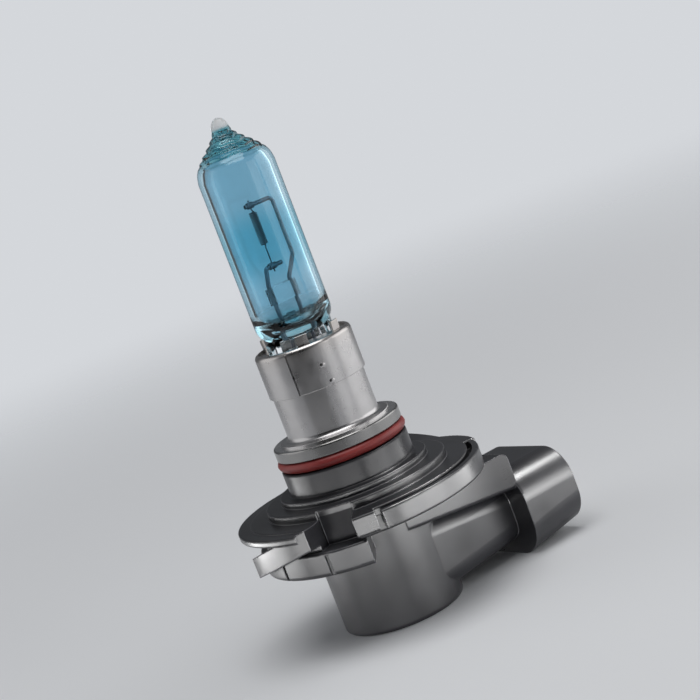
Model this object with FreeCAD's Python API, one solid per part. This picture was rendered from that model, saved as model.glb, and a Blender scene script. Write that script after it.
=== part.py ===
"""Headlight bulb with a right-angle connector base, in millimetres.

A quartz halogen capsule is gripped by a metal clip and two telescoped sleeves, which stand on a metal
ring at the front of a moulded plastic base. The base has a sealing plug with an O-ring, a flange with
bayonet lugs, a weld chamber closed by a rear cover, and a connector shroud at right angles to the lamp
axis.

The origin is on the lamp axis at the reference plane, the front face of the mounting ring. +Z runs
along the lamp axis to the tip of the glass, and +X runs to the mouth of the connector.
"""

import FreeCAD
import Part

import math
import os

from FreeCAD import Vector

ORIGIN = Vector(0, 0, 0)
UP = Vector(0, 0, 1)
ALONG_X = Vector(1, 0, 0)

# Light source
LIGHT_CENTRE = 31.5  # reference plane to the middle of the filament
FILAMENT_LENGTH = 5.1
COIL_RADIUS = 0.5  # to the middle of the wire
COIL_WIRE_RADIUS = 0.11
COIL_TURNS = 17
COIL_STEPS = 14  # path points in one turn
LEAD_RADIUS = 0.33
LEAD_BEND = 0.75
LONG_LEAD_OFFSET = 4.0  # from the lamp axis, beside the filament
LONG_LEAD_TOP = LIGHT_CENTRE + FILAMENT_LENGTH / 2 + 1.0
SHORT_LEAD_TOP = LIGHT_CENTRE - FILAMENT_LENGTH / 2 - 3.3
LEAD_FOOT = 1.9  # from the lamp axis, where the leads enter the pinch
CRIMP_RADIUS = 0.5

# Glass capsule
GLASS_RADIUS = 5.9
GLASS_WALL = 1.0
GLASS_BOTTOM = 14.9
GLASS_BOTTOM_ROUND = 2.8
FLOOR_THICKNESS = 1.8
FLOOR_ROUND = 3.0
DOME_START = 40.4
GLASS_TIP = 48.6
PINCH_HALF_WIDTH = 5.2
PINCH_HALF_THICKNESS = 1.5
PINCH_RIB_HALF_THICKNESS = 2.1
PINCH_RIB_WIDTH = 1.5
PINCH_BOTTOM = 3.6
BRIDGE_LOW = 20.3
BRIDGE_HIGH = 22.8
BRIDGE_HALF_WIDTH = 2.6
BRIDGE_HALF_THICKNESS = 0.9

# Seal between glass and metal
FOIL_WIDTH = 2.2
FOIL_THICKNESS = 0.1
FOIL_LOW = 6.6
FOIL_HIGH = 12.8
FOIL_OVERLAP = 1.2  # how far each lead lies on its foil
OUTER_LEAD_RADIUS = 0.4
OUTER_LEAD_BOTTOM = -20.0

# Metal holder
SHEET = 0.35
SLIP = 0.02  # clearance between parts that are welded or pressed together
BASE_SLEEVE_RADIUS = 7.1
BASE_SLEEVE_TOP = 9.8
BASE_SLEEVE_FOOT_RADIUS = 8.5
BASE_SLEEVE_FLARE = 1.3
CLAMP_RADIUS = BASE_SLEEVE_RADIUS + SLIP + SHEET + 0.03
CLAMP_LOW = 7.2
CLAMP_HIGH = 14.0
CLAMP_SHOULDER = 0.7
CLAMP_MOUTH_RADIUS = 6.78
CLAMP_SEAM_ANGLE = 217.0
CLAMP_SEAM_WIDTH = 0.3
CLIP_LOW = 10.2
CLIP_DECK = 13.6
CLIP_FINGER_TOP = 15.5
CLIP_FINGER_ANGLES = (-126.0, -72.0, 54.0, 108.0)
CLIP_FINGER_SWEEP = 15.0
CLIP_TONGUE_HALF_WIDTH = 1.2
CLIP_TONGUE_LOW = 9.6
WELD_RADIUS = 0.42
WELD_HEIGHT = 0.14
WELD_ANGLES = (-107.0, 13.0, 133.0)
WELD_CLAMP_LEVEL = 10.4
WELD_SEAM_LEVEL = 7.75

# Mounting ring and seal
PLUG_RADIUS = 9.8
RING_HEIGHT = 1.8
RING_PLATE = 0.8
RING_BORE = 6.2
RING_SPIGOT_RADIUS = 8.98
GROOVE_RADIUS = 8.4
GROOVE_LOW = -3.6
SEAL_SECTION_RADIUS = 0.8

# Base flange
STEPS = ((11.5, -7.3), (14.1, -8.3), (17.2, -9.6))  # radius and height of each step of its top face
LEDGE_RADIUS = 19.2
LEDGE_TOP = -9.8
LEDGE_BOTTOM = -10.9
LEDGE = (-20.0, 226.0)  # start angle and sweep
WEB_RADIUS = 16.0
LUG_TOP = -9.9
LUG_BOTTOM = -12.9
LUG_RADIUS = 18.9
LUG_WALL = 0.9
LUG_CHANNEL_DEPTH = 1.2
LONG_LUG = (-113.0, 93.0)
STOP_BLOCK = (-126.5, 10.2)
NOTCH = (-149.0, 22.5)
NOTCH_RADIUS = 13.6
FRONT_RAMP = (166.0, 45.0)
FRONT_RAMP_HEIGHT = -11.2  # of its top face, halfway along
BACK_RAMP = (-8.0, 40.0)
BACK_RAMP_HEIGHT = -9.7
RAMP_SLOPE = 15.0
RAMP_THICKNESS = 3.0

# Drum under the flange, on the side away from the connector
DRUM = (96.0, 140.0)
DRUM_RADIUS = 17.0
DRUM_TOP = -13.6
DRUM_BOTTOM = -17.3
DRUM_GROOVE_ANGLES = (122.0, 150.0, 183.0, 213.0)
BOSS = (-124.0, 27.0)
BOSS_RADIUS = 16.2
BOSS_BOTTOM = -17.0
BOSS_ROUND = 2.2

# Weld chamber and rear cover
BORE_RADIUS = 6.0
CHAMBER_RADIUS = 7.6
CHAMBER_TOP = -19.0
BODY_RADIUS = 9.4
BASE_BOTTOM = -30.0
COVER_RADIUS = 8.5
COVER_SEAT = -28.4
COVER_RECESS_RADIUS = 4.8
COVER_POCKET_REACH = 6.6

# Connector
SHROUD_REAR = 20.0
SHROUD_MOUTH = 29.8
SHROUD_HALF_WIDTH = 10.7
SHROUD_TOP = -16.4
SHROUD_REAR_BOTTOM = BASE_BOTTOM
SHROUD_MOUTH_BOTTOM = -28.6
SHROUD_ROUND = 5.0
SHROUD_WALL = 1.6
NECK_ROUND = 3.2
NECK_REAR_HALF_WIDTH = 9.1
NECK_FRONT_HALF_WIDTH = 6.4
NECK_REAR_TOP = -16.0
NECK_FRONT_TOP = -18.6
DECK_HALF_WIDTH = 9.6
DECK_REAR_LEVEL = -16.8  # of its underside, on the lamp axis
DECK_FRONT_LEVEL = -19.2  # of its underside, at the shroud
BLADE_LEVEL = -22.5
BLADE_SPACING = 7.6
BLADE_WIDTH = 2.8
BLADE_THICKNESS = 0.8
BLADE_TIP = 28.2
TAB_TOP = -12.5
SEAL_POCKET_END = 12.0
LATCH_HALF_WIDTH = 2.6


def in_section(radius, height):
    return Vector(radius, 0, height)


def in_plan(x, y):
    return Vector(x, y, 0)


def corner(before, here, after, radius):
    """The start, middle and end of the arc that rounds a corner."""
    back = (before - here).normalize()
    forth = (after - here).normalize()
    half_angle = back.getAngle(forth) / 2
    reach = radius / math.tan(half_angle)
    bisector = (back + forth).normalize()
    middle = here + bisector * (radius / math.sin(half_angle) - radius)
    return here + back * reach, middle, here + forth * reach


def outline(corners, place, closed=True):
    """A wire through corners (a, b) or (a, b, radius), where a radius rounds that corner."""
    points = [place(*c[:2]) for c in corners]
    count = len(points)
    stations = []
    for i, c in enumerate(corners):
        inside = closed or 0 < i < count - 1
        if len(c) == 3 and inside:
            stations.append(corner(points[i - 1], points[i], points[(i + 1) % count], c[2]))
        else:
            stations.append((points[i], None, points[i]))
    edges = []
    for i, (start, middle, end) in enumerate(stations):
        if middle is not None:
            edges.append(Part.Arc(start, middle, end).toShape())
        if i == count - 1 and not closed:
            break
        following = stations[(i + 1) % count][0]
        if end.distanceToPoint(following) > 1e-6:
            edges.append(Part.makeLine(end, following))
    return Part.Wire(edges)


def turned(corners):
    """A solid of revolution about the lamp axis, from corners (radius, height)."""
    return Part.Face(outline(corners, in_section)).revolve(ORIGIN, UP, 360)


def sector(corners, start, sweep):
    """Part of a solid of revolution, from start through sweep, in degrees from +X."""
    face = Part.Face(outline(corners, in_section))
    face.rotate(ORIGIN, UP, start)
    return face.revolve(ORIGIN, UP, sweep)


def box(low, high):
    size = [b - a for a, b in zip(low, high)]
    return Part.makeBox(*size, Vector(*low))


def rod(points, radius, bend):
    """A round wire along points (x, z) in the plane y = 0, with rounded bends."""
    corners = [(*p, bend) for p in points]
    path = outline(corners, in_section, closed=False)
    start, after = in_section(*points[0]), in_section(*points[1])
    section = Part.Wire(Part.makeCircle(radius, start, after - start))
    return path.makePipeShell([section], True, True)


def rounded_rectangle(x, low, high, half_width, round_radius):
    """A wire across the connector axis at x, from low to high."""
    corners = [
        (-half_width, low, round_radius),
        (half_width, low, round_radius),
        (half_width, high, round_radius),
        (-half_width, high, round_radius),
    ]
    return outline(corners, lambda y, z: Vector(x, y, z))


def loft(rear, mouth):
    return Part.makeLoft([rear, mouth], True, True)


def curve(points, start_tangent, end_tangent):
    spline = Part.BSplineCurve()
    spline.interpolate(
        Points=[in_section(*p) for p in points],
        InitialTangent=in_section(*start_tangent),
        FinalTangent=in_section(*end_tangent),
    )
    return spline.toShape()


def domed(radius, bottom, bottom_round, dome):
    """A closed tube about the lamp axis: rounded bottom, straight wall, then the dome's points."""
    floor_edge = radius - bottom_round
    turn = bottom_round * (1 - math.cos(math.pi / 4))
    wall = in_section(radius, bottom + bottom_round)
    floor_arc = Part.Arc(in_section(floor_edge, bottom), in_section(radius - turn, bottom + turn), wall)
    edges = [
        Part.makeLine(in_section(0, bottom), in_section(floor_edge, bottom)),
        floor_arc.toShape(),
        Part.makeLine(wall, in_section(*dome[0])),
        curve(dome, (0, 1), (-1, 0)),
        Part.makeLine(in_section(*dome[-1]), in_section(0, bottom)),
    ]
    return Part.Face(Part.Wire(edges)).revolve(ORIGIN, UP, 360)


def pinch_section(grow=0.0):
    """The press seal's section across the lamp axis: a flat web with a thicker rib along each side."""
    wide = PINCH_HALF_WIDTH + grow
    rib = PINCH_HALF_WIDTH - PINCH_RIB_WIDTH - grow
    web = PINCH_HALF_THICKNESS + grow
    thick = PINCH_RIB_HALF_THICKNESS + grow
    quarter = [(rib, web, 0.3), (rib, thick, 0.3), (wide, thick, 0.6)]
    corners = quarter[:]
    corners += [(x, -y, r) for x, y, r in reversed(quarter)]
    corners += [(-x, -y, r) for x, y, r in quarter]
    corners += [(-x, y, r) for x, y, r in reversed(quarter)]
    return corners


def pinch_block(low, high, grow=0.0):
    block = Part.Face(outline(pinch_section(grow), in_plan)).extrude(UP * (high - low))
    block.translate(UP * low)
    return block


def filament():
    """A single coil on the lamp axis with a straight leg at each end."""
    low = LIGHT_CENTRE - FILAMENT_LENGTH / 2
    pitch = FILAMENT_LENGTH / COIL_TURNS
    steps = COIL_TURNS * COIL_STEPS
    ramp = COIL_STEPS // 2
    points = [Vector(0, 0, SHORT_LEAD_TOP - 0.9), Vector(0, 0, low - 1.4), Vector(0, 0, low - 0.5)]
    for i in range(steps + 1):
        angle = 2 * math.pi * i / COIL_STEPS
        share = min(1.0, i / ramp, (steps - i) / ramp)
        reach = COIL_RADIUS * (0.25 + 0.75 * share)
        height = low + pitch * i / COIL_STEPS
        points.append(Vector(reach * math.cos(angle), reach * math.sin(angle), height))
    high = low + FILAMENT_LENGTH
    points += [Vector(0, 0, high + 0.45), Vector(0, 0, high + 0.9), Vector(0, 0, LONG_LEAD_TOP + 0.8)]
    spline = Part.BSplineCurve()
    spline.interpolate(Points=points, InitialTangent=UP, FinalTangent=UP)
    path = Part.Wire(spline.toShape())
    section = Part.Wire(Part.makeCircle(COIL_WIRE_RADIUS, points[0], UP))
    return path.makePipeShell([section], True, False)


def leg_hole():
    """The room that a filament leg takes where a lead is crimped round it."""
    radius = COIL_WIRE_RADIUS + 0.01
    return Part.makeCylinder(radius, 20, Vector(0, 0, LIGHT_CENTRE - 10))


def crimp(x_low, x_high, level):
    """The flattened end of a lead, folded over the filament's leg."""
    barrel = Part.makeCylinder(CRIMP_RADIUS, x_high - x_low, Vector(x_low, 0, level), ALONG_X)
    return barrel.makeFillet(0.12, barrel.Edges[::2])


def long_lead_wire():
    foot = FOIL_HIGH - FOIL_OVERLAP
    points = [
        (LEAD_FOOT, foot),
        (LEAD_FOOT, BRIDGE_HIGH + 0.4),
        (LONG_LEAD_OFFSET, BRIDGE_HIGH + 3.4),
        (LONG_LEAD_OFFSET, LONG_LEAD_TOP),
        (-0.9, LONG_LEAD_TOP),
    ]
    wire = rod(points, LEAD_RADIUS, LEAD_BEND)
    return wire.fuse(crimp(-0.55, 0.55, LONG_LEAD_TOP)).cut(leg_hole()).removeSplitter()


def short_lead_wire():
    foot = FOIL_HIGH - FOIL_OVERLAP
    points = [
        (-LEAD_FOOT, foot),
        (-LEAD_FOOT, BRIDGE_HIGH + 0.3),
        (-1.25, SHORT_LEAD_TOP),
        (1.6, SHORT_LEAD_TOP),
    ]
    wire = rod(points, LEAD_RADIUS, 0.5)
    return wire.fuse(crimp(-0.7, 0.55, SHORT_LEAD_TOP)).cut(leg_hole()).removeSplitter()


def foil(side):
    """A thin molybdenum strip, which the glass can seal to."""
    middle = side * (LEAD_FOOT + 0.2)
    strip = box(
        (middle - FOIL_WIDTH / 2, -FOIL_THICKNESS / 2, FOIL_LOW),
        (middle + FOIL_WIDTH / 2, FOIL_THICKNESS / 2, FOIL_HIGH),
    )
    return strip


def outer_lead(side):
    x = side * (LEAD_FOOT + 0.3)
    return rod([(x, FOIL_LOW + FOIL_OVERLAP), (x, OUTER_LEAD_BOTTOM)], OUTER_LEAD_RADIUS, 0)


def quartz_bridge(leads):
    """A rounded bar fused round both leads, which keeps them apart."""
    corners = [
        (-BRIDGE_HALF_WIDTH, -BRIDGE_HALF_THICKNESS, 0.85),
        (BRIDGE_HALF_WIDTH, -BRIDGE_HALF_THICKNESS, 0.85),
        (BRIDGE_HALF_WIDTH, BRIDGE_HALF_THICKNESS, 0.85),
        (-BRIDGE_HALF_WIDTH, BRIDGE_HALF_THICKNESS, 0.85),
    ]
    bar = Part.Face(outline(corners, in_plan)).extrude(UP * (BRIDGE_HIGH - BRIDGE_LOW))
    bar.translate(UP * BRIDGE_LOW)
    return bar.cut(Part.makeCompound(leads))


def glass_envelope(sealed_in):
    """The capsule: a tube drawn in to the exhaust tip, and pressed flat round the foils at the bottom."""
    outer_dome = [
        (GLASS_RADIUS, DOME_START),
        (5.5, DOME_START + 1.5),
        (4.3, DOME_START + 3.0),
        (2.7, DOME_START + 4.5),
        (1.55, DOME_START + 5.8),
        (1.2, DOME_START + 7.1),
        (0, GLASS_TIP),
    ]
    bore = GLASS_RADIUS - GLASS_WALL
    inner_dome = [
        (bore, DOME_START - 0.2),
        (4.4, DOME_START + 1.3),
        (3.1, DOME_START + 2.7),
        (1.5, DOME_START + 3.8),
        (0, DOME_START + 4.3),
    ]
    capsule = domed(GLASS_RADIUS, GLASS_BOTTOM, GLASS_BOTTOM_ROUND, outer_dome)
    pinch = pinch_block(PINCH_BOTTOM, GLASS_BOTTOM + 2.0)
    cavity = domed(bore, GLASS_BOTTOM + FLOOR_THICKNESS, FLOOR_ROUND, inner_dome)
    return capsule.fuse(pinch).cut(cavity).cut(Part.makeCompound(sealed_in)).removeSplitter()


def pinch_clip():
    """A stamped cup that grips the press seal: a deck with a window, a skirt, fingers and two tongues."""
    outer = BASE_SLEEVE_RADIUS
    cup = turned(
        [
            (outer - SHEET, CLIP_LOW),
            (outer, CLIP_LOW),
            (outer, CLIP_DECK, 0.3),
            (0, CLIP_DECK),
            (0, CLIP_DECK - SHEET),
            (outer - SHEET, CLIP_DECK - SHEET),
        ]
    )
    cup = cup.cut(pinch_block(CLIP_LOW, CLIP_DECK + 1, grow=0.12))
    fingers = [
        sector(
            [
                (6.25, CLIP_DECK - 0.2),
                (6.6, CLIP_DECK - 0.2),
                (6.7, CLIP_FINGER_TOP, 0.12),
                (6.35, CLIP_FINGER_TOP, 0.12),
            ],
            angle,
            CLIP_FINGER_SWEEP,
        )
        for angle in CLIP_FINGER_ANGLES
    ]
    near = PINCH_HALF_THICKNESS + SLIP
    tongues = []
    for side in (-1, 1):
        corners = [
            (side * near, CLIP_TONGUE_LOW),
            (side * (near + SHEET), CLIP_TONGUE_LOW),
            (side * (near + SHEET), CLIP_DECK),
            (side * near, CLIP_DECK),
        ]
        face = Part.Face(outline(corners, lambda y, z: Vector(-CLIP_TONGUE_HALF_WIDTH, y, z)))
        tongues.append(face.extrude(ALONG_X * (2 * CLIP_TONGUE_HALF_WIDTH)))
    return cup.multiFuse(fingers + tongues).removeSplitter()


def weld_dome(radius, angle, level):
    """A spot weld standing slightly proud of a sleeve of this radius."""
    ball_radius = (WELD_RADIUS**2 + WELD_HEIGHT**2) / (2 * WELD_HEIGHT)
    depth = radius + WELD_HEIGHT - ball_radius
    turn = math.radians(angle)
    return Part.makeSphere(ball_radius, Vector(depth * math.cos(turn), depth * math.sin(turn), level))


def clamp_sleeve():
    """The upper sleeve: a rolled strip with a turned-in shoulder, welded to the clip and lower sleeve."""
    inner = BASE_SLEEVE_RADIUS + SLIP
    sleeve = turned(
        [
            (inner, CLAMP_LOW),
            (CLAMP_RADIUS, CLAMP_LOW, 0.1),
            (CLAMP_RADIUS, CLAMP_HIGH, CLAMP_SHOULDER),
            (CLAMP_MOUTH_RADIUS, CLAMP_HIGH),
            (CLAMP_MOUTH_RADIUS, CLAMP_HIGH - SHEET),
            (inner, CLAMP_HIGH - SHEET, 0.32),
        ]
    )
    welds = [weld_dome(CLAMP_RADIUS, a, WELD_CLAMP_LEVEL) for a in WELD_ANGLES]
    welds += [weld_dome(CLAMP_RADIUS, a + 4, WELD_SEAM_LEVEL) for a in WELD_ANGLES]
    bore = Part.makeCylinder(inner, WELD_CLAMP_LEVEL + 1, ORIGIN)
    seam = box(
        (inner - 1, -CLAMP_SEAM_WIDTH / 2, CLAMP_LOW - 1),
        (CLAMP_RADIUS + 1, CLAMP_SEAM_WIDTH / 2, CLAMP_HIGH + 1),
    )
    seam.rotate(ORIGIN, UP, CLAMP_SEAM_ANGLE)
    return sleeve.multiFuse(welds).cut(bore).cut(seam).removeSplitter()


def base_sleeve():
    """The lower sleeve, drawn from sheet with a flared foot that is welded to the ring."""
    inner = BASE_SLEEVE_RADIUS - SHEET
    flare = BASE_SLEEVE_FLARE
    return turned(
        [
            (inner, 0, flare + SHEET - 0.6),
            (inner, BASE_SLEEVE_TOP),
            (BASE_SLEEVE_RADIUS, BASE_SLEEVE_TOP, 0.1),
            (BASE_SLEEVE_RADIUS, SHEET, flare - 0.6),
            (BASE_SLEEVE_FOOT_RADIUS, SHEET, 0.12),
            (BASE_SLEEVE_FOOT_RADIUS, 0),
        ]
    )


def mounting_ring():
    """A pressed plate whose rim sits over the spigot of the base and backs the O-ring."""
    rim = RING_SPIGOT_RADIUS + SLIP
    return turned(
        [
            (RING_BORE, -RING_PLATE),
            (RING_BORE, 0),
            (PLUG_RADIUS, 0, 0.3),
            (PLUG_RADIUS, -RING_HEIGHT, 0.12),
            (rim, -RING_HEIGHT),
            (rim, -RING_PLATE),
        ]
    )


def o_ring():
    middle = (-RING_HEIGHT + GROOVE_LOW) / 2
    centre_radius = GROOVE_RADIUS + SLIP + SEAL_SECTION_RADIUS
    return Part.makeTorus(centre_radius, SEAL_SECTION_RADIUS, Vector(0, 0, middle))


def terminal(side):
    """A stamped contact: a blade in the shroud, a strip through the neck and a tab on the outer lead."""
    low = BLADE_LEVEL - BLADE_THICKNESS / 2
    inner_edge = side * (BLADE_SPACING / 2 - BLADE_WIDTH / 2)
    outer_edge = side * (BLADE_SPACING / 2 + BLADE_WIDTH / 2)
    tab_edge = side * (OUTER_LEAD_RADIUS + SLIP)
    lead = side * (LEAD_FOOT + 0.3)
    plan = [
        (BLADE_TIP, inner_edge, 0.5),
        (BLADE_TIP, outer_edge, 0.5),
        (lead - 1.4, outer_edge, 0.4),
        (lead - 1.4, tab_edge),
        (lead + 1.4, tab_edge),
        (lead + 1.4, inner_edge),
    ]
    strip = Part.Face(outline(plan, in_plan)).extrude(UP * BLADE_THICKNESS)
    strip.translate(UP * low)
    tab_sides = sorted((tab_edge, tab_edge + side * BLADE_THICKNESS))
    tab = box((lead - 1.4, tab_sides[0], low), (lead + 1.4, tab_sides[1], TAB_TOP))
    corners = [e for e in tab.Edges if e.BoundBox.ZMin > TAB_TOP - 0.01 and e.BoundBox.YLength > 0.5]
    tab = tab.makeFillet(0.6, corners)
    blade = strip.fuse(tab).removeSplitter()
    tip_edges = [e for e in blade.Edges if e.BoundBox.XMin > BLADE_TIP - 0.01 and e.BoundBox.YLength > 1]
    return blade.makeChamfer(0.25, tip_edges)


def seal_pocket():
    reach = BLADE_SPACING / 2 + BLADE_WIDTH / 2 + 0.9
    pocket = box((0, -reach, BLADE_LEVEL - 1.8), (SEAL_POCKET_END, reach, BLADE_LEVEL + 1.8))
    return pocket.cut(Part.makeCylinder(CHAMBER_RADIUS, 30, Vector(0, 0, BASE_BOTTOM)))


def terminal_seal(terminals):
    """The sealing compound round both strips, where they leave the weld chamber."""
    return seal_pocket().cut(Part.makeCompound(terminals))


def base_turned():
    """The round parts of the base: spigot, seal groove, plug, stepped disc and chamber wall."""
    return turned(
        [
            (BORE_RADIUS, -RING_PLATE - SLIP),
            (RING_SPIGOT_RADIUS, -RING_PLATE - SLIP),
            (RING_SPIGOT_RADIUS, -RING_HEIGHT),
            (GROOVE_RADIUS, -RING_HEIGHT, 0.05),
            (GROOVE_RADIUS, GROOVE_LOW, 0.15),
            (PLUG_RADIUS, GROOVE_LOW, 0.3),
            (PLUG_RADIUS, STEPS[0][1], 0.3),
            (STEPS[0][0], STEPS[0][1], 0.25),
            (STEPS[0][0], STEPS[1][1]),
            (STEPS[1][0], STEPS[1][1], 0.25),
            (STEPS[1][0], STEPS[2][1]),
            (STEPS[2][0], STEPS[2][1], 0.25),
            (STEPS[2][0], LEDGE_BOTTOM),
            (WEB_RADIUS, LEDGE_BOTTOM),
            (WEB_RADIUS, DRUM_TOP, 0.3),
            (BODY_RADIUS, DRUM_TOP),
            (BODY_RADIUS, BASE_BOTTOM, 0.6),
            (COVER_RADIUS + SLIP, BASE_BOTTOM),
            (COVER_RADIUS + SLIP, COVER_SEAT),
            (CHAMBER_RADIUS, COVER_SEAT),
            (CHAMBER_RADIUS, CHAMBER_TOP),
            (BORE_RADIUS, CHAMBER_TOP),
        ]
    )


def lug(start, sweep, top, bottom, outer=LUG_RADIUS):
    inner = WEB_RADIUS - 1
    corners = [(inner, bottom), (outer, bottom, 0.3), (outer, top, 0.3), (inner, top)]
    return sector(corners, start, sweep)


def long_lug():
    """The long lug: a rim standing outside a narrow channel."""
    start, sweep = LONG_LUG
    body = lug(start, sweep, LUG_TOP, LUG_BOTTOM)
    floor = LUG_TOP - LUG_CHANNEL_DEPTH
    rim = LUG_RADIUS - LUG_WALL
    channel = [(STEPS[2][0], floor), (rim, floor), (rim, 0), (STEPS[2][0], 0)]
    return body.cut(sector(channel, start - 1, sweep))


def ramp_lug(start, sweep, height):
    """A lug between two parallel sloping faces. It rises with the angle."""
    body = lug(start, sweep, height + 4, height - RAMP_THICKNESS - 4)
    slab = box((0, -40, -RAMP_THICKNESS), (40, 40, 0))
    slab.rotate(ORIGIN, ALONG_X, RAMP_SLOPE)
    slab.translate(UP * height)
    slab.rotate(ORIGIN, UP, start + sweep / 2)
    return body.common(slab)


def flange_features():
    """The ledge round the back, the stop block and the lugs."""
    ledge = lug(*LEDGE, LEDGE_TOP, LEDGE_BOTTOM, LEDGE_RADIUS)
    block = lug(*STOP_BLOCK, LUG_TOP + 0.3, LUG_BOTTOM + 0.3)
    ramps = [ramp_lug(*FRONT_RAMP, FRONT_RAMP_HEIGHT), ramp_lug(*BACK_RAMP, BACK_RAMP_HEIGHT)]
    return [ledge, block, long_lug()] + ramps


def notch():
    """The deep notch beside the stop block, down to the top of the drum."""
    reach = LEDGE_RADIUS + 1
    return sector([(NOTCH_RADIUS, DRUM_TOP), (reach, DRUM_TOP), (reach, 0), (NOTCH_RADIUS, 0)], *NOTCH)


def under_flange(start, sweep, radius, bottom):
    """A block below the flange, standing out from the chamber wall."""
    inner = BODY_RADIUS - 1
    web = WEB_RADIUS - 1
    corners = [
        (inner, bottom),
        (radius, bottom, 0.6),
        (radius, DRUM_TOP, 0.3),
        (web, DRUM_TOP),
        (web, DRUM_TOP + 0.4),
        (inner, DRUM_TOP + 0.4),
    ]
    return sector(corners, start, sweep)


def drum():
    """The round step away from the connector, and beside it the boss with a rounded lower corner."""
    start, sweep = BOSS
    boss = under_flange(start, sweep, BOSS_RADIUS, BOSS_BOTTOM)
    end = math.radians(start + sweep)
    across = Vector(-math.sin(end), math.cos(end), 0)
    lower = [
        e
        for e in boss.Edges
        if e.BoundBox.ZMax < BOSS_BOTTOM + 0.01 and all(abs(v.Point.dot(across)) < 0.01 for v in e.Vertexes)
    ]
    return [under_flange(*DRUM, DRUM_RADIUS, DRUM_BOTTOM), boss.makeFillet(BOSS_ROUND, lower)]


def shroud_outer():
    rear = rounded_rectangle(SHROUD_REAR, SHROUD_REAR_BOTTOM, SHROUD_TOP, SHROUD_HALF_WIDTH, SHROUD_ROUND)
    mouth = rounded_rectangle(SHROUD_MOUTH, SHROUD_MOUTH_BOTTOM, SHROUD_TOP, SHROUD_HALF_WIDTH, SHROUD_ROUND)
    return loft(rear, mouth)


def shroud_cavity():
    """The room for the plug. It runs a little past the mouth so that the cut is clean."""
    wall = SHROUD_WALL
    low = SHROUD_MOUTH_BOTTOM + wall
    section = rounded_rectangle(
        SHROUD_REAR + wall, low, SHROUD_TOP - wall, SHROUD_HALF_WIDTH - wall, SHROUD_ROUND - wall
    )
    room = Part.Face(section).extrude(ALONG_X * (SHROUD_MOUTH - SHROUD_REAR))
    key = box(
        (SHROUD_REAR, -0.9, SHROUD_TOP - wall - 1.1),
        (SHROUD_MOUTH - 0.8, 0.9, SHROUD_TOP - wall + 0.5),
    )
    return room.cut(key)


def neck():
    """The tapered block that carries the strips to the shroud, and the wider deck above it."""
    rear = rounded_rectangle(0, BASE_BOTTOM + 1.2, NECK_REAR_TOP, NECK_REAR_HALF_WIDTH, NECK_ROUND)
    front = rounded_rectangle(SHROUD_REAR + 0.2, -27.8, NECK_FRONT_TOP, NECK_FRONT_HALF_WIDTH, NECK_ROUND)
    side = DECK_HALF_WIDTH
    corners = [
        (0, DECK_REAR_LEVEL),
        (SHROUD_REAR + 0.4, DECK_FRONT_LEVEL),
        (SHROUD_REAR + 0.4, DRUM_TOP + 0.3, 1.2),
        (0, DRUM_TOP + 0.3),
    ]
    deck = Part.Face(outline(corners, lambda x, z: Vector(x, -side, z))).extrude(Vector(0, 2 * side, 0))
    long_edges = [e for e in deck.Edges if e.BoundBox.XLength > 15 and e.BoundBox.ZLength > 1]
    return [loft(rear, front), deck.makeFillet(0.5, long_edges)]


def latch_wedge():
    """The ramp under the shroud that the plug's latch snaps over."""
    root = SHROUD_MOUTH_BOTTOM + 0.4
    corners = [
        (SHROUD_MOUTH - 1.0, root),
        (SHROUD_MOUTH - 4.6, BASE_BOTTOM + 0.05),
        (SHROUD_MOUTH - 5.6, BASE_BOTTOM + 0.05),
        (SHROUD_MOUTH - 5.6, root),
    ]
    face = Part.Face(outline(corners, lambda x, z: Vector(x, -LATCH_HALF_WIDTH, z)))
    return face.extrude(Vector(0, 2 * LATCH_HALF_WIDTH, 0))


def drum_grooves():
    """Shallow upright grooves that core out the drum's rim."""
    grooves = []
    for angle in DRUM_GROOVE_ANGLES:
        corners = [
            (DRUM_RADIUS - 0.5, DRUM_BOTTOM - 1),
            (DRUM_RADIUS + 1, DRUM_BOTTOM - 1),
            (DRUM_RADIUS + 1, DRUM_TOP - 0.5),
            (DRUM_RADIUS - 0.5, DRUM_TOP - 0.5),
        ]
        grooves.append(sector(corners, angle, 2.2))
    return grooves


def base_housing(terminals):
    """The moulded base, with the terminals' room cut out of it."""
    body = base_turned()
    for piece in flange_features() + drum() + neck() + [shroud_outer(), latch_wedge()]:
        body = body.fuse(piece)
    chamber = Part.makeCylinder(CHAMBER_RADIUS, CHAMBER_TOP - COVER_SEAT, Vector(0, 0, COVER_SEAT))
    bore = Part.makeCylinder(BORE_RADIUS, 30, Vector(0, 0, BASE_BOTTOM))
    removed = [notch(), chamber, bore, shroud_cavity(), seal_pocket()] + drum_grooves() + terminals
    for piece in removed:
        body = body.cut(piece)
    return body


def rear_cover():
    """A snap-in disc that closes the weld chamber, with a spigot inside and weld recesses outside."""
    cover = turned(
        [
            (0, BASE_BOTTOM),
            (COVER_RADIUS, BASE_BOTTOM, 0.3),
            (COVER_RADIUS, COVER_SEAT),
            (CHAMBER_RADIUS - SLIP, COVER_SEAT),
            (CHAMBER_RADIUS - SLIP, COVER_SEAT + 1.4, 0.3),
            (CHAMBER_RADIUS - 1.4, COVER_SEAT + 1.4),
            (CHAMBER_RADIUS - 1.4, COVER_SEAT),
            (0, COVER_SEAT),
        ]
    )
    recess = turned(
        [
            (0, BASE_BOTTOM - 1),
            (COVER_RECESS_RADIUS, BASE_BOTTOM - 1),
            (COVER_RECESS_RADIUS, BASE_BOTTOM + 0.5, 0.2),
            (0, BASE_BOTTOM + 0.5),
        ]
    )
    cover = cover.cut(recess)
    for turn in range(3):
        pocket = Part.makeCylinder(0.8, 0.8, Vector(COVER_POCKET_REACH, 0, BASE_BOTTOM - 0.2))
        pocket.rotate(ORIGIN, UP, 120 * turn + 60)
        cover = cover.cut(pocket)
    return cover


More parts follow.
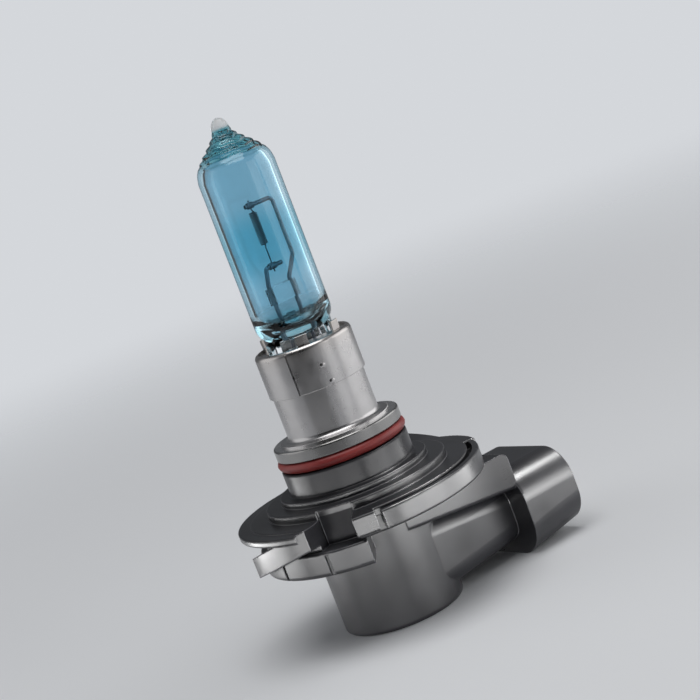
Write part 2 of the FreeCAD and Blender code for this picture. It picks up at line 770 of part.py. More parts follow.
def build():
    terminals = [terminal(1), terminal(-1)]
    leads = [long_lead_wire(), short_lead_wire()]
    foils = [foil(1), foil(-1)]
    outer_leads = [outer_lead(1), outer_lead(-1)]
    foils = [f.cut(Part.makeCompound(leads + outer_leads)) for f in foils]
    return {
        "glass_envelope": glass_envelope(leads + foils + outer_leads),
        "filament": filament(),
        "long_lead_wire": leads[0],
        "short_lead_wire": leads[1],
        "quartz_bridge": quartz_bridge(leads),
        "foil_long_side": foils[0],
        "foil_short_side": foils[1],
        "outer_lead_long_side": outer_leads[0],
        "outer_lead_short_side": outer_leads[1],
        "pinch_clip": pinch_clip(),
        "clamp_sleeve": clamp_sleeve(),
        "base_sleeve": base_sleeve(),
        "mounting_ring": mounting_ring(),
        "o_ring": o_ring(),
        "base_housing": base_housing(terminals),
        "terminal_seal": terminal_seal(terminals),
        "contact_terminal_a": terminals[0],
        "contact_terminal_b": terminals[1],
        "rear_cover": rear_cover(),
    }


def main():
    os.makedirs("parts", exist_ok=True)
    for name, shape in build().items():
        shape.exportStep(os.path.join("parts", name + ".step"))
        kinds = f"{len(shape.Solids)} solid(s), volume {shape.Volume:.1f} mm3, valid {shape.isValid()}"
        print(f"{name}: {kinds}")


main()
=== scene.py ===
"""Looks for the headlight bulb: materials for the CAD nodes, smooth glass, wire and seal pieces, a studio.

Blender's units are metres, in the CAD frame: +Z along the lamp axis to the glass tip, +X to the mouth of the
connector, with the origin on the axis at the front face of the mounting ring. Dimensions are named in
millimetres and multiplied by MM where they are used.
"""

import math

import bmesh
import bpy
from mathutils import Matrix, Vector

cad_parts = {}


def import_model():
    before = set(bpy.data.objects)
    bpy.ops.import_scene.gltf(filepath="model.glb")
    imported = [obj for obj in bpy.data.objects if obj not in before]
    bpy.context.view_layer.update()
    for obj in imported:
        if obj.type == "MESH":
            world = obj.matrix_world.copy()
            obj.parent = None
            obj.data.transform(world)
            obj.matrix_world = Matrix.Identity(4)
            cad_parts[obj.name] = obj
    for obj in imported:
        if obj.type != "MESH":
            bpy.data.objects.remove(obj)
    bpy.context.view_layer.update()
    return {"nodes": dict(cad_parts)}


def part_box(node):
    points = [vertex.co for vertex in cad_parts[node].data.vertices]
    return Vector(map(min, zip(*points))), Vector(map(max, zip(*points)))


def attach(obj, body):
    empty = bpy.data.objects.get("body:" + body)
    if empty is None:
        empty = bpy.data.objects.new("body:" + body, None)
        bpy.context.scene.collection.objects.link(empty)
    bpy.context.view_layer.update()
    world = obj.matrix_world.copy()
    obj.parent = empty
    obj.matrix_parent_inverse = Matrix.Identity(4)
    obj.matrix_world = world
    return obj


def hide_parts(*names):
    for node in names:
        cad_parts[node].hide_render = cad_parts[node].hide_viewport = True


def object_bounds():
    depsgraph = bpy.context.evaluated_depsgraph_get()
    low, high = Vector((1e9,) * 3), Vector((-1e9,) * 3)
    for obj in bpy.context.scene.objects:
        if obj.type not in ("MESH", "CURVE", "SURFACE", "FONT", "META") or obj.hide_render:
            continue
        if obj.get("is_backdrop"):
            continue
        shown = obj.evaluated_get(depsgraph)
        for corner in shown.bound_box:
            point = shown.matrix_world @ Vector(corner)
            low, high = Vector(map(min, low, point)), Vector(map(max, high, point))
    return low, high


MM = 0.001

# View
VIEW_AZIMUTH = -30.0
VIEW_ELEVATION = 9.0
VIEW_ROLL = -20.9  # the lamp axis leans to the left in the picture
VIEW_DISTANCE = 0.3
FIELD_WIDTH = 0.104  # how much the picture spans at the lamp axis
TARGET = Vector((0.0065, -0.001, 0.0095))

# Glass
GLASS_WALL = 1.0
GLASS_BOTTOM = 14.9  # of the tube, where the press seal begins
GLASS_BOTTOM_ROUND = 2.8
FLOOR_THICKNESS = 1.8
FLOOR_ROUND = 3.0
DOME_START = 40.4
ROOM_TOP = DOME_START + 4.3  # of the space inside
TIP_RIPPLE = 0.17
TIP_RIPPLE_LEVEL = 44.5
TIP_RIPPLE_REACH = 2.4
TIP_RIPPLE_PITCH = 0.85

# Levels on the glass where its colour changes, as the start and end of each change
COATING_EDGE = (14.9, 15.7)
BOTTOM_FADE = (16.5, 19.0)
DEEP_BAND_RISE = (22.0, 28.0)
DEEP_BAND_FALL = (31.0, 36.0)
CONE_FADE = (41.5, 44.0)
NUB_EDGE = (46.6, 47.3)  # from here up the quartz is frosted

# Press seal: half widths across its flat side, half thicknesses across the other
PINCH_HALF_WIDTH = 5.2
PINCH_RIB_INSIDE = 4.0
PINCH_WEB_EDGE = 3.6
PINCH_WEB = 1.5
PINCH_RIB = 2.1
PINCH_SIDE = 1.4
PINCH_CHAMFER = 0.3
PINCH_INTO_TUBE = 1.2  # how far the block runs up into the tube's floor

# Filament
LIGHT_CENTRE = 31.5
FILAMENT_LENGTH = 5.1
FILAMENT_LOWER_LEG = 4.2
FILAMENT_UPPER_LEG = 1.8
COIL_RADIUS = 0.5
COIL_TURNS = 17
COIL_STEPS = 26  # path points in one turn
WIRE_RADIUS = 0.11

# Spot welds on the clamp sleeve
WELD_ANGLES = (-107, 13, 133)
WELD_LEVEL = 10.4
WELD_TINT_RADIUS = 1.3
HEAT_TINT = (10.5, 16.0)  # the levels between which the sleeves' heat tint grows

# O-ring
SEAL_STEPS = 48  # round its section
SEAL_FLASH = 0.035

# Places on the moulded base whose reflection is turned down, as painted shade
PLUG_EDGE = (-7.6, -7.0)  # the levels where the plug's painted shade (turned-down reflection) begins
NOTCH_REACH = 13.8
NOTCH_LEVELS = (-13.4, -9.3)
DECK_FADE = (8.0, 18.0)  # along X, towards the connector
DECK_END = (20.2, 20.6)
DECK_LEVELS = (-20.0, -13.2)

SEGMENTS = 160  # round a lathed piece

# Studio
FLOOR_FADE = (0.1, 0.5)  # the floor fades out between these distances
BACKDROP = (0.66, 0.68, 0.71)
ROOM_COLOUR = (0.86, 0.9, 0.96)
ROOM_LIGHT = 0.14
STUDIO_CENTRE = Vector((0, 0, 0.01))  # what the lights and cards face

# Coating colours: deep in a band round the filament, paler above and below it, dark on the cone and bottom
COATING_DEEP = (0.31, 0.63, 0.76)
COATING_LIGHT = (0.47, 0.7, 0.81)
COATING_DARK = (0.11, 0.38, 0.45)

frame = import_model()
nodes = frame["nodes"]

glass_low, glass_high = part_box("glass_envelope")
GLASS_RADIUS = glass_high.x / MM
GLASS_TIP = glass_high.z / MM
PINCH_BOTTOM = glass_low.z / MM


# ---------------------------------------------------------------- materials

class Graph:
    """A material's node tree, with short calls for the nodes used here."""

    def __init__(self, name):
        self.material = bpy.data.materials.new(name)
        self.material.use_nodes = True
        self.tree = self.material.node_tree
        self.shader = self.tree.nodes["Principled BSDF"]
        self.place = self.node("ShaderNodeNewGeometry").outputs["Position"]

    def node(self, kind, **settings):
        made = self.tree.nodes.new(kind)
        for key, value in settings.items():
            setattr(made, key, value)
        return made

    def feed(self, socket, value):
        if isinstance(value, bpy.types.NodeSocket):
            self.tree.links.new(value, socket)
        elif value is not None:
            socket.default_value = value

    def set(self, **inputs):
        """Sets the main shader's inputs, with underscores for spaces in their names."""
        for key, value in inputs.items():
            self.feed(self.shader.inputs[key.replace("_", " ")], value)

    def math(self, operation, a, b=0.0, c=0.0):
        made = self.node("ShaderNodeMath", operation=operation)
        for socket, value in zip(made.inputs, (a, b, c)):
            self.feed(socket, value)
        return made.outputs[0]

    def noise(self, scale, detail=3.0, stretch=(1, 1, 1), roughness=0.55):
        """Noise of about this many features in a metre, stretched along the axes."""
        mapping = self.node("ShaderNodeMapping")
        self.feed(mapping.inputs["Vector"], self.place)
        mapping.inputs["Scale"].default_value = stretch
        made = self.node("ShaderNodeTexNoise")
        self.feed(made.inputs["Vector"], mapping.outputs[0])
        made.inputs["Scale"].default_value = scale
        made.inputs["Detail"].default_value = detail
        made.inputs["Roughness"].default_value = roughness
        return made.outputs["Fac"]

    def remap(self, value, low, high, to_low, to_high):
        made = self.node("ShaderNodeMapRange", interpolation_type="SMOOTHSTEP")
        for socket, number in zip(made.inputs, (value, low, high, to_low, to_high)):
            self.feed(socket, number)
        return made.outputs[0]

    def over(self, value, stretch, to_low, to_high):
        """Goes from one number to another over a stretch in millimetres."""
        return self.remap(value, stretch[0] * MM, stretch[1] * MM, to_low, to_high)

    def mix(self, factor, a, b):
        made = self.node("ShaderNodeMix", data_type="RGBA")
        self.feed(made.inputs["Factor"], factor)
        self.feed(made.inputs["A"], (*a, 1) if isinstance(a, tuple) else a)
        self.feed(made.inputs["B"], (*b, 1) if isinstance(b, tuple) else b)
        return made.outputs["Result"]

    def bump(self, height, distance, strength=1.0, normal=None):
        made = self.node("ShaderNodeBump")
        made.inputs["Distance"].default_value = distance
        made.inputs["Strength"].default_value = strength
        self.feed(made.inputs["Height"], height)
        self.feed(made.inputs["Normal"], normal)
        return made.outputs[0]

    def split(self):
        made = self.node("ShaderNodeSeparateXYZ")
        self.feed(made.inputs[0], self.place)
        return made.outputs

    def reach(self):
        """The distance from the lamp axis."""
        x, y, z = self.split()
        return self.math("SQRT", self.math("ADD", self.math("MULTIPLY", x, x), self.math("MULTIPLY", y, y)))

    def band(self, value, low, high, soft=0.2):
        """1 between two values in millimetres, fading to 0 just outside them."""
        above = self.over(value, (low - soft, low), 0.0, 1.0)
        below = self.over(value, (high, high + soft), 1.0, 0.0)
        return self.math("MULTIPLY", above, below)

    def rounded(self, radius):
        """The surface normal with its edges rounded off."""
        bevel = self.node("ShaderNodeBevel", samples=8)
        bevel.inputs["Radius"].default_value = radius
        return bevel.outputs[0]

    def edges(self, radius, low=0.02, high=0.25):
        """1 along edges and 0 on open faces."""
        normal = self.node("ShaderNodeNewGeometry").outputs["Normal"]
        dot = self.node("ShaderNodeVectorMath", operation="DOT_PRODUCT")
        self.feed(dot.inputs[0], self.rounded(radius))
        self.feed(dot.inputs[1], normal)
        turned_away = self.math("SUBTRACT", 1.0, dot.outputs["Value"])
        return self.remap(turned_away, low, high, 0.0, 1.0)

    def near(self, point, radius):
        """1 at a point in millimetres, falling to 0 at this radius."""
        distance = self.node("ShaderNodeVectorMath", operation="DISTANCE")
        self.feed(distance.inputs[0], self.place)
        distance.inputs[1].default_value = [c * MM for c in point]
        return self.remap(distance.outputs["Value"], 0.0, radius * MM, 1.0, 0.0)


def metal(name, colour, dark, roughness, grain=(30, 30, 300), grain_depth=2e-6):
    """Plated or drawn metal: uneven tone, fine working marks, and brighter worn edges."""
    g = Graph(name)
    tone = g.noise(300, 4)
    marks = g.noise(1.0, 4, stretch=tuple(60 * s for s in grain))
    colour_out = g.mix(g.remap(tone, 0.3, 0.7, 0.0, 1.0), dark, colour)
    colour_out = g.mix(g.math("MULTIPLY", g.edges(0.12 * MM), 0.5), colour_out, (0.9, 0.89, 0.88))
    rough = g.remap(tone, 0.3, 0.75, roughness - 0.03, roughness + 0.05)
    rough = g.math("ADD", rough, g.math("MULTIPLY", marks, 0.08))
    g.set(Base_Color=colour_out, Metallic=1.0, Roughness=rough, Normal=g.bump(marks, grain_depth, 0.6))
    return g


def sleeve_metal():
    """Nickel-plated sheet, with heat tint above the welds and towards the glass."""
    g = metal("nickel_sheet", (0.55, 0.54, 0.54), (0.5, 0.49, 0.49), 0.25, (12, 12, 2), 9e-6)
    base = g.shader.inputs["Base Color"].links[0].from_socket
    height = g.split()["Z"]
    hot = g.math("MULTIPLY", g.over(height, HEAT_TINT, 0.0, 0.45), g.noise(300, 3))
    base = g.mix(hot, base, (0.5, 0.4, 0.3))
    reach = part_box("clamp_sleeve")[1].x / MM
    for angle in WELD_ANGLES:
        turn = math.radians(angle)
        place = (reach * math.cos(turn), reach * math.sin(turn), WELD_LEVEL)
        spot = g.near(place, WELD_TINT_RADIUS)
        base = g.mix(g.math("MULTIPLY", spot, 0.15), base, (0.3, 0.26, 0.24))
    g.set(Base_Color=base)
    return g.material


def ring_metal():
    """Bright on top, and darker on the face of its outer edge."""
    g = metal("bright_ring", (0.72, 0.715, 0.71), (0.64, 0.635, 0.63), 0.2, (14, 14, 3), 5e-6)
    base = g.shader.inputs["Base Color"].links[0].from_socket
    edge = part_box("mounting_ring")[1].y / MM
    # Darker in colour on the outer edge face
    outer_face_darkening = g.over(g.reach(), (edge - 0.25, edge - 0.1), 0.0, 0.75)
    g.set(Base_Color=g.mix(outer_face_darkening, base, (0.2, 0.195, 0.19)))
    return g.material


def wire_metal():
    return metal("molybdenum", (0.26, 0.27, 0.3), (0.14, 0.145, 0.165), 0.35, (200, 200, 40)).material


def tungsten():
    return metal("tungsten", (0.2, 0.2, 0.22), (0.09, 0.09, 0.1), 0.42, (300, 300, 300)).material


def tinned_metal():
    return metal("tinned_brass", (0.76, 0.74, 0.68), (0.6, 0.57, 0.48), 0.3, (400, 60, 60)).material


def black_plastic(name, lift=0.0):
    """Glass-filled moulded plastic with a fine spark texture, flow clouding, smoother edges and painted
    highlights along the edges.

    The plug, the notch in the flange and the deck behind the connector reflect less than the rest, as
    painted shade.
    """
    g = Graph(name)
    cloud = g.noise(90, 4)
    fine = g.noise(5200, 2)
    fibre = g.noise(1600, 3, stretch=(1, 1, 3))
    colour = g.mix(g.remap(cloud, 0.3, 0.7, 0.0, 1.0), (0.007, 0.007, 0.008), (0.012, 0.012, 0.014))
    edge = g.edges(0.25 * MM)
    # Painted highlight: the edges are lightened in colour where their rounded rims catch the light
    colour = g.mix(g.math("MULTIPLY", edge, 0.7), colour, (0.1, 0.1, 0.108))
    rough = g.remap(cloud, 0.25, 0.75, 0.24 + lift, 0.33 + lift)
    rough = g.math("ADD", rough, g.math("MULTIPLY", fibre, 0.06))
    rough = g.math("SUBTRACT", rough, g.math("MULTIPLY", edge, 0.12))
    normal = g.bump(fibre, 6e-6, 0.5, g.bump(fine, 3e-6, 0.5, g.rounded(0.3 * MM)))
    x, _, z = g.split()
    # Painted shade: the plug under the flange, the notch's recess and the deck behind the connector reflect
    # less, standing in for the shade that falls there
    plug = g.over(z, PLUG_EDGE, 0.0, 0.7)
    notch = g.math("MULTIPLY", g.band(g.reach(), 0.0, NOTCH_REACH), g.band(z, *NOTCH_LEVELS))
    along = g.math("MULTIPLY", g.over(x, DECK_FADE, 0.0, 1.0), g.over(x, DECK_END, 1.0, 0.0))
    deck = g.math("MULTIPLY", along, g.band(z, *DECK_LEVELS))
    painted_shade = g.math("MAXIMUM", g.math("MULTIPLY", notch, 0.85), g.math("MULTIPLY", deck, 0.65))
    shade_dulling = g.math("MAXIMUM", plug, painted_shade)
    sheen = g.math("MULTIPLY", g.math("SUBTRACT", 1.0, shade_dulling), 0.5)
    g.set(Base_Color=colour, Roughness=rough, IOR=1.55, Specular_IOR_Level=sheen, Normal=normal)
    return g.material


def silicone(name, colour, deep, roughness):
    g = Graph(name)
    tone = g.noise(260, 4)
    grain = g.noise(6000, 2)
    g.set(
        Base_Color=g.mix(g.remap(tone, 0.3, 0.7, 0.0, 1.0), deep, colour),
        Roughness=g.remap(tone, 0.25, 0.75, roughness - 0.06, roughness + 0.1),
        Normal=g.bump(grain, 5e-6, 0.5),
        Subsurface_Weight=0.15,
        Subsurface_Scale=0.0006,
    )
    return g.material


def quartz(name, tinted):
    """Quartz glass. The tinted kind has a thin blue coating, and its nub is left frosted."""
    g = Graph(name)
    ripple = g.noise(240, 2, stretch=(1, 1, 0.25))
    tone = g.noise(70, 3)
    clear = (0.93, 0.955, 0.965)
    rough = g.remap(tone, 0.3, 0.8, 0.0, 0.03)
    if tinted:
        waver = g.math("MULTIPLY", g.math("SUBTRACT", tone, 0.5), 1.0 * MM)
        height = g.math("ADD", g.split()["Z"], waver)
        above = g.over(height, DEEP_BAND_FALL, 0.0, 1.0)
        below = g.over(height, DEEP_BAND_RISE, 1.0, 0.0)
        blue = g.mix(g.math("MAXIMUM", above, below), COATING_DEEP, COATING_LIGHT)
        cone = g.over(height, CONE_FADE, 0.0, 1.0)
        bottom = g.over(height, BOTTOM_FADE, 0.6, 0.0)
        blue = g.mix(g.math("MAXIMUM", cone, bottom), blue, COATING_DARK)
        coated = g.over(height, COATING_EDGE, 0.0, 1.0)
        nub = g.over(height, NUB_EDGE, 0.0, 1.0)
        colour = g.mix(nub, g.mix(coated, clear, blue), (0.96, 0.95, 0.95))
        rough = g.math("ADD", rough, g.math("MULTIPLY", nub, 0.5))
        g.set(Transmission_Weight=g.remap(nub, 0.0, 1.0, 1.0, 0.55))
    else:
        colour = (*clear, 1)
        g.set(Transmission_Weight=1.0)
    g.set(Base_Color=colour, Roughness=rough, IOR=1.458, Normal=g.bump(ripple, 3e-6, 0.6))
    return g.material


# ---------------------------------------------------------------- mesh pieces

def finish_piece(mesh, name, material, replaced, smooth_angle=35.0):
    piece = bpy.data.objects.new(name, mesh)
    bpy.context.scene.collection.objects.link(piece)
    mesh.materials.append(material)
    mesh.shade_smooth()
    mesh.set_sharp_from_angle(angle=math.radians(smooth_angle))
    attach(piece, "root")
    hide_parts(replaced)
    return piece


def smooth_curve(points, steps):
    """Points on a smooth curve through the given ones."""
    path = [Vector(p) for p in points]
    path = [2 * path[0] - path[1]] + path + [2 * path[-1] - path[-2]]
    made = []
    for a, b, c, d in zip(path, path[1:], path[2:], path[3:]):
        for i in range(steps):
            t = i / steps
            bend = (2 * a - 5 * b + 4 * c - d) * t**2
            twist = (3 * b - a - 3 * c + d) * t**3
            made.append(0.5 * (2 * b + (c - a) * t + bend + twist))
    return made + [path[-2]]


def arc(centre, radius, start, end, steps):
    """Points on an arc, between two angles in degrees."""
    angles = [math.radians(start + (end - start) * i / steps) for i in range(steps + 1)]
    return [Vector((centre[0] + radius * math.cos(a), centre[1] + radius * math.sin(a))) for a in angles]


def lathe(bm, profile, closed=True):
    """Turns (radius, height) points about the lamp axis. A point on the axis becomes a pole."""
    around = [2 * math.pi * i / SEGMENTS for i in range(SEGMENTS)]
    rings = []
    for radius, height in profile:
        if radius < 1e-5:
            places = [Vector((0, 0, height))]
        else:
            places = [Vector((radius * math.cos(a), radius * math.sin(a), height)) for a in around]
        rings.append([bm.verts.new(place * MM) for place in places])
    pairs = list(zip(rings, rings[1:]))
    if closed:
        pairs.append((rings[-1], rings[0]))
    for low, high in pairs:
        for i in range(SEGMENTS):
            j = (i + 1) % SEGMENTS
            if len(low) == 1 and len(high) == 1:
                break
            if len(low) == 1:
                bm.faces.new((low[0], high[j], high[i]))
            elif len(high) == 1:
                bm.faces.new((low[i], low[j], high[0]))
            else:
                bm.faces.new((low[i], low[j], high[j], high[i]))


def to_mesh(bm, name):
    bmesh.ops.recalc_face_normals(bm, faces=bm.faces)
    mesh = bpy.data.meshes.new(name)
    bm.to_mesh(mesh)
    bm.free()
    return mesh


def tip_ripple(height, angle):
    """How far the surface dips where the tip burner has drawn the glass in, in millimetres."""
    fade = max(0.0, 1 - ((height - TIP_RIPPLE_LEVEL) / TIP_RIPPLE_REACH) ** 2)
    wander = 0.9 * math.sin(3 * angle + 0.7 * height) + 0.6 * math.sin(8 * angle + 1.0)
    return TIP_RIPPLE * fade * math.sin(2 * math.pi * height / TIP_RIPPLE_PITCH + wander)


def glass_outside():
    """The tube with a rounded bottom, and the cone and nub where the exhaust tube was sealed off."""
    turn = GLASS_BOTTOM_ROUND
    profile = [Vector((0, GLASS_BOTTOM))]
    profile += arc((GLASS_RADIUS - turn, GLASS_BOTTOM + turn), turn, -90, 0, 14)
    dome = [
        (GLASS_RADIUS, DOME_START),
        (5.5, DOME_START + 1.5),
        (4.3, DOME_START + 3.0),
        (2.7, DOME_START + 4.5),
        (1.55, DOME_START + 5.8),
        (1.2, DOME_START + 7.1),
        (0.75, DOME_START + 7.85),
        (0.0, GLASS_TIP),
    ]
    profile += smooth_curve(dome, 12)
    profile[-1] = Vector((0, GLASS_TIP))
    bm = bmesh.new()
    lathe(bm, [tuple(p) for p in profile], closed=False)
    for vert in bm.verts:
        height = vert.co.z / MM
        dip = tip_ripple(height, math.atan2(vert.co.y, vert.co.x))
        reach = math.hypot(vert.co.x, vert.co.y) / MM
        if reach > 0.1:
            vert.co.x *= 1 - dip / reach
            vert.co.y *= 1 - dip / reach
    return to_mesh(bm, "glass_outside")


def glass_inside():
    """The room in the tube, facing inwards."""
    bore = GLASS_RADIUS - GLASS_WALL
    low = GLASS_BOTTOM + FLOOR_THICKNESS
    profile = [Vector((0, low))] + arc((bore - FLOOR_ROUND, low + FLOOR_ROUND), FLOOR_ROUND, -90, 0, 16)
    dome = [
        (bore, DOME_START - 0.2),
        (4.4, DOME_START + 1.3),
        (3.1, DOME_START + 2.7),
        (1.5, DOME_START + 3.8),
        (0.0, ROOM_TOP),
    ]
    profile += smooth_curve(dome, 8)
    profile[-1] = Vector((0, ROOM_TOP))
    bm = bmesh.new()
    lathe(bm, [tuple(p) for p in profile], closed=False)
    return to_mesh(bm, "glass_inside")


def pinch_block():
    """The press seal: a flat web with a thicker rib along each side, drawn in a little at its bottom end."""
    quarter = [
        (-PINCH_HALF_WIDTH, PINCH_SIDE),
        (-(PINCH_HALF_WIDTH + PINCH_RIB_INSIDE) / 2, PINCH_RIB),
        (-PINCH_RIB_INSIDE, PINCH_RIB),
        (-PINCH_WEB_EDGE, PINCH_WEB),
    ]
    half = quarter + [(-x, y) for x, y in reversed(quarter)]
    section = half + [(x, -y) for x, y in reversed(half)]
    bm = bmesh.new()
    rings = []
    levels = (PINCH_BOTTOM, PINCH_BOTTOM + PINCH_CHAMFER, GLASS_BOTTOM + PINCH_INTO_TUBE)
    for height, size in zip(levels, (0.94, 1.0, 1.0)):
        rings.append([bm.verts.new((x * size * MM, y * size * MM, height * MM)) for x, y in section])
    count = len(section)
    for low, high in zip(rings, rings[1:]):
        for i in range(count):
            j = (i + 1) % count
            bm.faces.new((low[i], low[j], high[j], high[i]))
    bm.faces.new(rings[0])
    bm.faces.new(rings[-1])
    return to_mesh(bm, "pinch_block")


def glass_piece():
    """The tube joined to the press seal, with the room inside taken out."""
    shell = bpy.data.objects.new("shell", glass_outside())
    tools = []
    for name, mesh, operation in (("block", pinch_block(), "UNION"), ("room", glass_inside(), "DIFFERENCE")):
        tool = bpy.data.objects.new(name, mesh)
        tools.append(tool)
        combined = shell.modifiers.new(name, "BOOLEAN")
        combined.operation = operation
        combined.solver = "EXACT"
        combined.object = tool
    for made in [shell] + tools:
        bpy.context.scene.collection.objects.link(made)
    graph = bpy.context.evaluated_depsgraph_get()
    mesh = bpy.data.meshes.new_from_object(shell.evaluated_get(graph))
    for made in [shell] + tools:
        bpy.data.objects.remove(made)
    material = quartz("coated_quartz", True)
    return finish_piece(mesh, "glass_capsule", material, "glass_envelope", 50)


def wire(name, points, radius, material, replaced, resolution=6):
    """A round wire through points in millimetres."""
    curve = bpy.data.curves.new(name, "CURVE")
    curve.dimensions = "3D"
    curve.bevel_depth = radius * MM
    curve.bevel_resolution = resolution
    curve.use_fill_caps = True
    spline = curve.splines.new("POLY")
    spline.points.add(len(points) - 1)
    for point, place in zip(spline.points, points):
        point.co = (*(Vector(place) * MM), 1)
    holder = bpy.data.objects.new(name + "_curve", curve)
    bpy.context.scene.collection.objects.link(holder)
    graph = bpy.context.evaluated_depsgraph_get()
    mesh = bpy.data.meshes.new_from_object(holder.evaluated_get(graph))
    bpy.data.objects.remove(holder)
    return finish_piece(mesh, name, material, replaced, 60)


def filament_piece():
    """The coil, wound up out of its lower leg and back into its upper one."""
    low = LIGHT_CENTRE - FILAMENT_LENGTH / 2
    high = low + FILAMENT_LENGTH
    ramp = COIL_STEPS / 2
    points = [(0, 0, low - FILAMENT_LOWER_LEG), (0, 0, low - 1.4), (0, 0, low - 0.5)]
    total = COIL_TURNS * COIL_STEPS
    for i in range(total + 1):
        angle = 2 * math.pi * i / COIL_STEPS
        share = min(1.0, i / ramp, (total - i) / ramp)
        reach = COIL_RADIUS * (0.25 + 0.75 * share)
        points.append((reach * math.cos(angle), reach * math.sin(angle), low + FILAMENT_LENGTH * i / total))
    points += [(0, 0, high + 0.45), (0, 0, high + 0.9), (0, 0, high + FILAMENT_UPPER_LEG)]
    return wire("coil_filament", points, WIRE_RADIUS, tungsten(), "filament")


def seal_piece():
    """The O-ring, with the fine flash line that its mould leaves round the outside."""
    low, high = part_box("o_ring")
    section = (high.z - low.z) / 2 / MM
    reach = high.x / MM - section
    middle = (high.z + low.z) / 2 / MM
    profile = []
    for i in range(SEAL_STEPS):
        angle = 2 * math.pi * i / SEAL_STEPS
        flash = SEAL_FLASH if i == 0 else 0.0
        profile.append((reach + (section + flash) * math.cos(angle), middle + section * math.sin(angle)))
    bm = bmesh.new()
    lathe(bm, profile)
    material = silicone("red_silicone", (0.31, 0.04, 0.036), (0.21, 0.026, 0.025), 0.4)
    return finish_piece(to_mesh(bm, "seal_ring"), "seal_ring", material, "o_ring", 60)


def dress(names, material):
    """Gives these CAD nodes a material."""
    for name in names:
        node = nodes[name]
        node.data.materials.clear()
        node.data.materials.append(material)


def dress_frame():
    dress(["pinch_clip", "clamp_sleeve", "base_sleeve"], sleeve_metal())
    dress(["mounting_ring"], ring_metal())
    leads = ["long_lead_wire", "short_lead_wire", "foil_long_side", "foil_short_side"]
    dress(leads + ["outer_lead_long_side", "outer_lead_short_side"], wire_metal())
    dress(["quartz_bridge"], quartz("clear_quartz", False))
    dress(["base_housing"], black_plastic("housing_plastic"))
    dress(["rear_cover"], black_plastic("cover_plastic", 0.06))
    dress(["terminal_seal"], silicone("sealing_compound", (0.3, 0.3, 0.32), (0.2, 0.2, 0.22), 0.5))
    dress(["contact_terminal_a", "contact_terminal_b"], tinned_metal())


# ---------------------------------------------------------------- studio

def floor_material():
    """Pale card that fades into the backdrop with the distance from the lamp."""
    g = Graph("pale_floor")
    tone = g.noise(3, 3)
    g.set(
        Base_Color=g.mix(tone, (0.74, 0.75, 0.77), (0.79, 0.8, 0.815)),
        Roughness=0.7,
        Normal=g.bump(g.noise(900, 2), 2e-5, 0.2),
    )
    reach = g.node("ShaderNodeVectorMath", operation="LENGTH")
    g.feed(reach.inputs[0], g.place)
    clear = g.node("ShaderNodeBsdfTransparent")
    blend = g.node("ShaderNodeMixShader")
    g.feed(blend.inputs[0], g.remap(reach.outputs["Value"], FLOOR_FADE[0], FLOOR_FADE[1], 0.0, 1.0))
    g.feed(blend.inputs[1], g.shader.outputs[0])
    g.feed(blend.inputs[2], clear.outputs[0])
    g.feed(g.tree.nodes["Material Output"].inputs["Surface"], blend.outputs[0])
    return g.material


def floor():
    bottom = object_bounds()[0].z
    bm = bmesh.new()
    bmesh.ops.create_circle(bm, cap_ends=True, segments=96, radius=FLOOR_FADE[1])
    bmesh.ops.translate(bm, verts=bm.verts, vec=(0, 0, bottom))
    mesh = to_mesh(bm, "floor")
    mesh.materials.append(floor_material())
    made = bpy.data.objects.new("floor", mesh)
    bpy.context.scene.collection.objects.link(made)
    made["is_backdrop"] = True


def towards(azimuth, elevation):
    """The direction of a view angle, seen from the lamp."""
    azimuth, elevation = math.radians(azimuth), math.radians(elevation)
    flat = math.cos(elevation)
    return Vector((math.sin(azimuth) * flat, -math.cos(azimuth) * flat, math.sin(elevation)))


def face_lamp(made, direction, distance):
    made.location = STUDIO_CENTRE + direction * distance
    made.rotation_mode = "QUATERNION"
    made.rotation_quaternion = (-direction).to_track_quat("-Z", "Y")
    bpy.context.scene.collection.objects.link(made)


def softbox(name, beside, elevation, distance, size, power, only_on=None):
    """An area light that faces the lamp, at an angle beside the camera."""
    light = bpy.data.lights.new(name, "AREA")
    light.shape = "RECTANGLE"
    light.size, light.size_y = size
    light.energy = power
    made = bpy.data.objects.new(name, light)
    made.visible_camera = False
    face_lamp(made, towards(VIEW_AZIMUTH + beside, elevation), distance)
    if only_on:
        lit = bpy.data.collections.new(name + "_lights")
        for node in only_on:
            lit.objects.link(node)
        made.light_linking.receiver_collection = lit


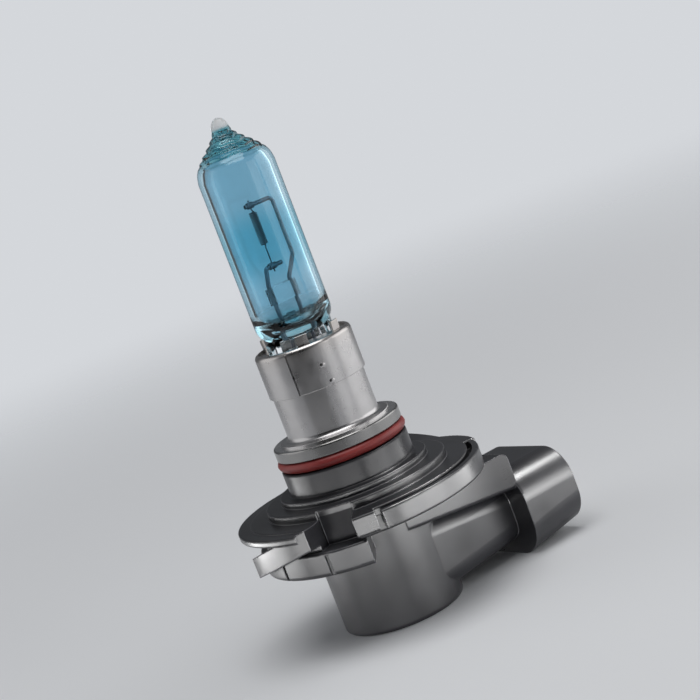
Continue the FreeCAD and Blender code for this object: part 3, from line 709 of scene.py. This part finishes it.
def flag(name, beside, elevation, distance, size, through_glass=False):
    """A black card that only reflections see, or only rays through the glass, for dark bands and edges."""
    g = Graph(name)
    g.set(Base_Color=(0.01, 0.01, 0.01, 1), Roughness=0.9)
    bm = bmesh.new()
    bmesh.ops.create_grid(bm, x_segments=1, y_segments=1, size=0.5)
    bmesh.ops.scale(bm, verts=bm.verts, vec=(size[0], size[1], 1))
    mesh = to_mesh(bm, name)
    mesh.materials.append(g.material)
    made = bpy.data.objects.new(name, mesh)
    face_lamp(made, towards(VIEW_AZIMUTH + beside, elevation), distance)
    made.visible_camera = False
    made.visible_diffuse = False
    made.visible_shadow = False
    made.visible_glossy = not through_glass
    made.visible_transmission = through_glass
    made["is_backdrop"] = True


def world():
    """A pale backdrop for the camera and through the glass, and a dimmer room for the light it gives."""
    made = bpy.data.worlds.new("studio")
    made.use_nodes = True
    tree = made.node_tree
    room = tree.nodes["Background"]
    room.inputs["Color"].default_value = (*ROOM_COLOUR, 1)
    room.inputs["Strength"].default_value = ROOM_LIGHT
    backdrop = tree.nodes.new("ShaderNodeBackground")
    backdrop.inputs["Color"].default_value = (*BACKDROP, 1)
    path = tree.nodes.new("ShaderNodeLightPath")
    seen = tree.nodes.new("ShaderNodeMath")
    seen.operation = "MAXIMUM"
    tree.links.new(path.outputs["Is Camera Ray"], seen.inputs[0])
    tree.links.new(path.outputs["Is Transmission Ray"], seen.inputs[1])
    blend = tree.nodes.new("ShaderNodeMixShader")
    tree.links.new(seen.outputs[0], blend.inputs[0])
    tree.links.new(room.outputs[0], blend.inputs[1])
    tree.links.new(backdrop.outputs[0], blend.inputs[2])
    tree.links.new(blend.outputs[0], tree.nodes["World Output"].inputs["Surface"])
    made.cycles.sampling_method = "NONE"
    bpy.context.scene.world = made


def camera():
    back = towards(VIEW_AZIMUTH, VIEW_ELEVATION)
    data = bpy.data.cameras.new("camera")
    data.sensor_width = 36.0
    data.lens = 36.0 * VIEW_DISTANCE / FIELD_WIDTH
    made = bpy.data.objects.new("camera", data)
    made.location = TARGET + back * VIEW_DISTANCE
    made.rotation_mode = "QUATERNION"
    roll = Matrix.Rotation(math.radians(VIEW_ROLL), 3, "Z").to_quaternion()
    made.rotation_quaternion = (-back).to_track_quat("-Z", "Y") @ roll
    bpy.context.scene.collection.objects.link(made)
    bpy.context.scene.camera = made


def studio():
    floor()
    world()
    softbox("left", -100, 15, 0.5, (0.5, 0.5), 0.6)
    softbox("right", 102, 12, 0.5, (0.6, 0.45), 1.2)
    softbox("front", 50, 8, 0.45, (0.2, 0.3), 0.2)
    softbox("top", 10, 78, 0.6, (0.5, 0.5), 2.3)
    moulded = [nodes["base_housing"], nodes["rear_cover"]]
    softbox("sheen", 62, 0, 0.4, (0.12, 0.2), 0.7, moulded)
    softbox("rims", 95, 57, 0.35, (0.14, 0.12), 1.6, moulded)
    for turn, power in ((-98, 0.034), (-48, 0.025), (-4, 0.03), (46, 0.042), (86, 0.026)):
        softbox("low_%d" % turn, turn, -24, 0.085, (0.06, 0.014), power, moulded)
    flag("front_flag", -16, 4, 0.14, (0.16, 0.4))
    flag("edge_flag", -118, 5, 0.3, (0.22, 0.4), through_glass=True)
    camera()
    bpy.context.scene.view_settings.view_transform = "Standard"


def main():
    glass_piece()
    filament_piece()
    seal_piece()
    dress_frame()
    studio()


main()
